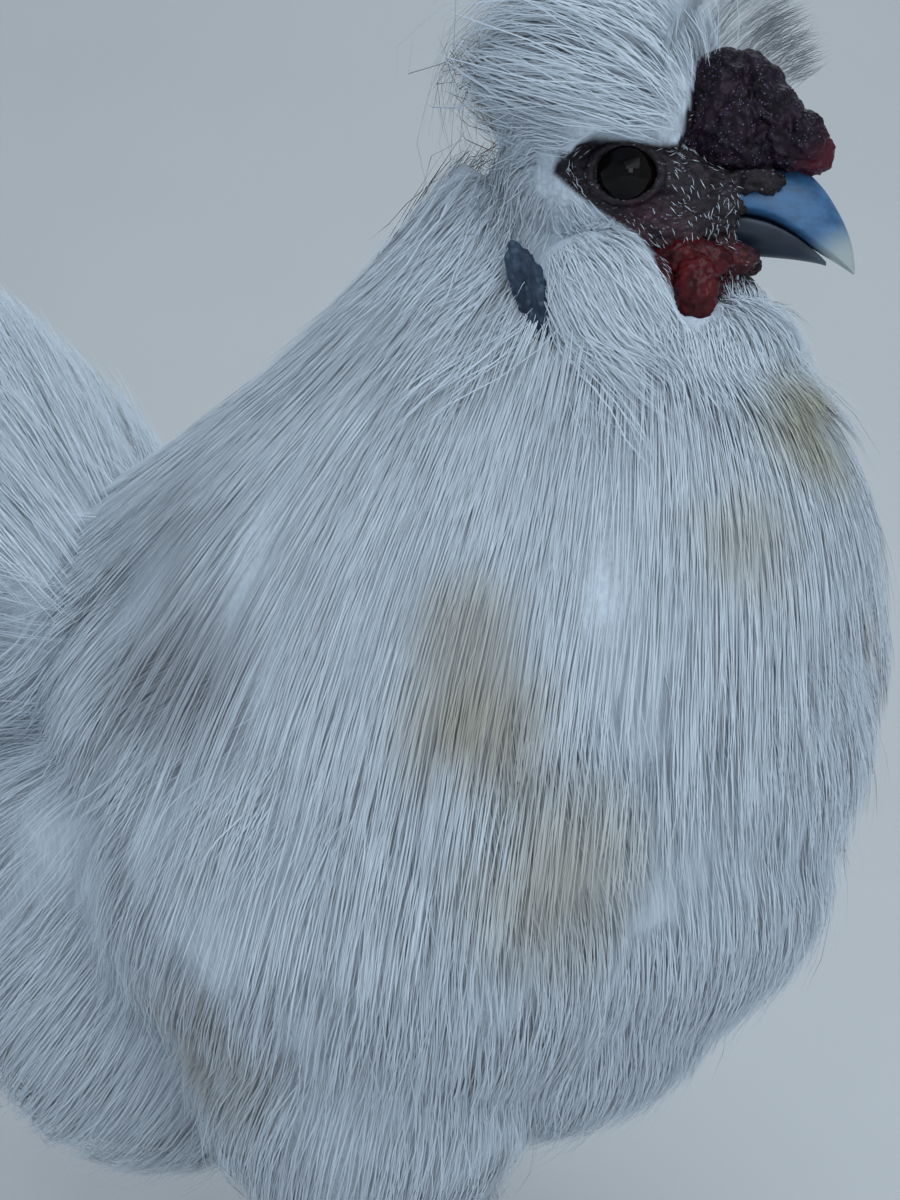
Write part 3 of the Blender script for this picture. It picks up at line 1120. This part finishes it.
def smooth_rows(rows, share):
    """Rows read at a share of their length, along rounded lines."""
    stops = np.linspace(0, 1, len(rows))
    place = np.clip(share, 0, 1) * (len(rows) - 1)
    k = np.clip(place.astype(int), 0, len(rows) - 2)
    t = (place - k)[:, None]
    a, b, c, d = (rows[np.clip(k + i, 0, len(rows) - 1)] for i in (-1, 0, 1, 2))
    return 0.5 * (2 * b + (c - a) * t + (2 * a - 5 * b + 4 * c - d) * t * t + (3 * b - a - 3 * c + d) * t**3)


def horn_half(name, rows, top_share):
    def place(share, turn):
        x, top, bottom, half = smooth_rows(rows, share).T
        level = bottom + (top - bottom) * (1 - top_share)
        rise = np.sin(turn) * np.where(np.sin(turn) > 0, top - level, level - bottom)
        spots = np.stack([x, np.maximum(half, 0.3) * np.cos(turn), level + rise], axis=-1)
        return HEAD_EYES + spots @ HEAD_TURN.T

    return rolled(name, place, 56, 48)


def horn_material(name, dark, pale, edge_z):
    """Layered horn, lighter and worn at its cutting edge and tip."""
    material, surface, add, link = nodes_for(name)
    grain = noise_of(add, 500, 5, 0.6, (0.25, 1, 1))
    colour = blend_of(add, ramp_of(add, grain, 0.3, 0.7), dark, tuple(min(1, 1.7 * c) for c in dark))
    tip = near_of(add, head_point(40.5, 0, -14.5), 3.5, 10)
    colour = blend_of(add, product_of(add, tip, 0.9), colour, pale)
    height = add("SeparateXYZ", {0: add("TexCoord").outputs["Object"]}).outputs[2]
    edge = ramp_of(add, height, in_model(head_point(30, 0, edge_z + 2.2))[2], in_model(head_point(30, 0, edge_z))[2])
    colour = blend_of(add, product_of(add, edge, 0.5), colour, pale)
    link(colour, "Base Color")
    link(add("MapRange", {"Value": grain, "To Min": 0.28, "To Max": 0.5}).outputs[0], "Roughness")
    bump_of(add, link, grain, 0.3, 0.0003)
    return material


upper = horn_half("beak_upper_horn", UPPER_SECTIONS, 0.86)
for s in SIDES.values():
    hole = Egg(head_point(26.5, s * 6.4, -0.4), (2.9, 1.5, 1.0), turn=HEAD_TURN)
    cut(upper, ball("nostril", hole.on_unit, 4))
smooth(upper, 50)
dressed(upper, horn_material("beak_upper_horn", (0.032, 0.10, 0.21), (0.45, 0.50, 0.48), -13.5))
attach(upper, "root")
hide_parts("beak_upper")
lower = horn_half("beak_lower_horn", LOWER_SECTIONS, 0.12)
smooth(lower, 50)
dressed(lower, horn_material("beak_lower_horn", (0.010, 0.016, 0.030), (0.09, 0.12, 0.15), -16.5))
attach(lower, "root")
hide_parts("beak_lower")

# Feet: five toes each, in small dark scales, with feathers down the outer side.
TOES = (("inner", -34, 26, 3.0), ("middle", 0, 34, 3.3), ("outer", 34, 27, 3.0), ("hind", 172, 15, 2.8))
CLAW_LENGTH = 9
DOWN = np.array((0, 0, -1.0))


def tube_place(path):
    """Points round a bent line of (x, y, z, radius) rows."""
    rows = np.array(path, float)

    def place(share, turn):
        here = smooth_rows(rows, share)
        ahead = unit(smooth_rows(rows, np.minimum(share + 0.02, 1))[:, :3] - smooth_rows(rows, np.maximum(share - 0.02, 0))[:, :3])
        aside = unit(np.cross(ahead, -DOWN) + 1e-6 * np.array((0, 1.0, 0)))
        up = np.cross(aside, ahead)
        scutes = 1 + 0.035 * np.cos(share * len(rows) * 22)
        radius = (here[:, 3] * scutes)[:, None]
        return here[:, :3] + (aside * np.cos(turn)[:, None] + up * np.sin(turn)[:, None]) * radius

    return place


def leg_material():
    material, surface, add, link = nodes_for("leg_scales")
    cells = add("TexVoronoi", {"Vector": add("TexCoord").outputs["Object"], "Scale": 620}, feature="DISTANCE_TO_EDGE")
    edge = ramp_of(add, cells.outputs[0], 0.0, 0.12)
    clouds = noise_of(add, 240, 4)
    scale = blend_of(add, clouds, (0.05, 0.055, 0.075), (0.12, 0.13, 0.17))
    link(blend_of(add, edge, (0.02, 0.02, 0.028), scale), "Base Color")
    surface.inputs["Roughness"].default_value = 0.5
    bump_of(add, link, edge, 0.6, 0.0004)
    return material


def claw_material():
    material, surface, add, link = nodes_for("claw_horn")
    grain = noise_of(add, 700, 4, 0.6)
    link(blend_of(add, grain, (0.05, 0.055, 0.07), (0.26, 0.27, 0.28)), "Base Color")
    link(add("MapRange", {"Value": grain, "To Min": 0.25, "To Max": 0.45}).outputs[0], "Roughness")
    bump_of(add, link, grain, 0.2, 0.0002)
    return material


SCALES, CLAW_HORN = leg_material(), claw_material()
for name, s in SIDES.items():
    ball_of_foot = np.array((FOOT_X, s * LEG_Y, 0.0))
    parts, claws, claw_nodes = [], [], []

    def toe(label, rows, way, end_radius):
        parts.append(rolled("toe", tube_place(rows), 18, 44))
        tip = np.array(rows[-1][:3]) + way * 0.3
        lift = np.array((0, 0, 1.0))
        reach = CLAW_LENGTH
        drop = min(1.0, max(tip[2] - 0.5, 0))
        claw_rows = [
            (*(tip - way * 0.6), end_radius),
            (*(tip + way * reach * 0.45 + lift * 0.5), end_radius * 0.74),
            (*(tip + way * reach * 0.8 - lift * 0.2), end_radius * 0.42),
            (*(tip + way * reach - lift * drop), end_radius * 0.12),
        ]
        claws.append(rolled("claw", tube_place(claw_rows), 14, 18))
        claw_nodes.append(f"claw_{label}_{name}")

    for label, angle, length, radius in TOES:
        way = np.array((math.cos(angle * DEGREE), s * math.sin(angle * DEGREE), 0))
        flat = radius - 0.6
        rows = [
            (*(ball_of_foot + (0, 0, 5.6)), 4.0),
            (*(ball_of_foot + way * length * 0.35 + (0, 0, flat + 0.8)), radius + 0.4),
            (*(ball_of_foot + way * length * 0.62 + (0, 0, flat + 0.2)), radius - 0.2),
            (*(ball_of_foot + way * length * 0.86 + (0, 0, flat)), radius),
            (*(ball_of_foot + way * length + (0, 0, max(flat, 1.9))), radius - 0.9),
        ]
        toe(label, rows, way, min(radius - 0.9, 1.6))
    aside = np.array((-0.8, -s * 0.6, 0))
    rows = [
        (*(ball_of_foot + (0, 0, 7)), 3.4),
        (*(ball_of_foot + aside * 9 + (0, 0, 9)), 2.7),
        (*(ball_of_foot + aside * 15 + (0, 0, 13)), 2.2),
    ]
    way = unit(np.array(rows[2][:3]) - np.array(rows[1][:3]))
    toe("raised", rows, way, 1.4)
    pad = [(*(ball_of_foot + (0, 0, 1)), 4.4), (*(ball_of_foot + (0, 0, 5)), 5.4), (*(ball_of_foot + (0, 0, 10.5)), 4.2)]
    parts.append(rolled("pad", tube_place(pad), 28, 24))
    foot = fused("foot_scaly_" + name, 0.45, *parts)
    finish_with(foot, "SMOOTH", factor=0.5, iterations=2)
    sole = corners_of(foot)
    sole[:, 2] = np.maximum(sole[:, 2], 0.0)
    move_corners(foot, sole)
    smooth(foot)
    dressed(foot, SCALES)
    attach(foot, "root")
    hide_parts("foot_" + name)
    nails = joined("claws_" + name, *claws)
    tips = corners_of(nails)
    tips[:, 2] = np.maximum(tips[:, 2], 0.0)
    move_corners(nails, tips)
    smooth(nails, 50)
    dressed(nails, CLAW_HORN)
    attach(nails, "root")
    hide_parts(*claw_nodes)

# Floor and backdrop: one pale sheet of paper that curves up behind the bird.
bpy.ops.object.select_all(action="DESELECT")
bpy.ops.mesh.primitive_grid_add(x_subdivisions=8, y_subdivisions=40, size=2)
sweep = bpy.context.object
sweep.name = sweep.data.name = "backdrop"
flat = corners_of(sweep)
run = (flat[:, 1] + 1) * 1.6 - 1.4
rise = np.where(run > 0.7, 0.0, 0.0)
bend = 0.45
over = np.clip(run - 0.7, 0, bend * math.pi / 2)
y = np.where(run < 0.7, run, 0.7 + bend * np.sin(over / bend))
z = np.where(run < 0.7, 0.0, bend * (1 - np.cos(over / bend)) + np.clip(run - 0.7 - bend * math.pi / 2, 0, None))
view_turn = math.radians(20)
x = flat[:, 0] * 2.6
move_corners(sweep, np.stack([
    x * math.cos(view_turn) - y * math.sin(view_turn), x * math.sin(view_turn) + y * math.cos(view_turn), z - 0.0002
], axis=-1))
smooth(sweep)
material, surface, add, link = nodes_for("backdrop")
link(blend_of(add, noise_of(add, 6, 3), (0.72, 0.72, 0.72), (0.78, 0.78, 0.78)), "Base Color")
surface.inputs["Roughness"].default_value = 0.9
dressed(sweep, material)

# Studio light: a wide soft key above the camera's left, a large pale fill, and a dim even sky.
world = bpy.data.worlds.new("studio")
bpy.context.scene.world = world
world.use_nodes = True
world.node_tree.nodes["Background"].inputs["Color"].default_value = (0.74, 0.87, 1.0, 1)
world.node_tree.nodes["Background"].inputs["Strength"].default_value = 0.42
AIM = Vector(in_model((0, 0, 150)))


def soft_light(name, azimuth, elevation, distance, size, power, colour):
    """A square area light that looks at the bird from an azimuth and elevation in degrees."""
    light = bpy.data.lights.new(name, "AREA")
    light.size, light.energy, light.color = size, power, colour
    obj = bpy.data.objects.new(name, light)
    bpy.context.scene.collection.objects.link(obj)
    a, e = math.radians(azimuth), math.radians(elevation)
    back = Vector((math.sin(a) * math.cos(e), -math.cos(a) * math.cos(e), math.sin(e)))
    obj.location = AIM + back * distance
    obj.rotation_euler = back.to_track_quat("Z", "Y").to_euler()


soft_light("key", 38, 44, 1.3, 1.1, 6.5, (0.82, 0.93, 1.0))
soft_light("front", 32, 14, 1.2, 0.32, 1.2, (0.82, 0.93, 1.0))
soft_light("rim", 190, 50, 1.4, 0.8, 3, (0.86, 0.95, 1.0))

# Camera: low and slightly ahead of the bird's right side, close enough to fill the frame.
VIEW_AZIMUTH, VIEW_ELEVATION = math.radians(20), math.radians(4)
camera = bpy.data.cameras.new("camera")
camera.lens, camera.sensor_width = 65.7, 36
camera.clip_start = 0.01
eye_of_view = bpy.data.objects.new("camera", camera)
bpy.context.scene.collection.objects.link(eye_of_view)
back = Vector((
    math.sin(VIEW_AZIMUTH) * math.cos(VIEW_ELEVATION),
    -math.cos(VIEW_AZIMUTH) * math.cos(VIEW_ELEVATION),
    math.sin(VIEW_ELEVATION),
))
eye_of_view.location = AIM + back * 0.430
eye_of_view.rotation_euler = back.to_track_quat("Z", "Y").to_euler()
bpy.context.scene.camera = eye_of_view
bpy.context.scene.view_settings.view_transform = "Standard"
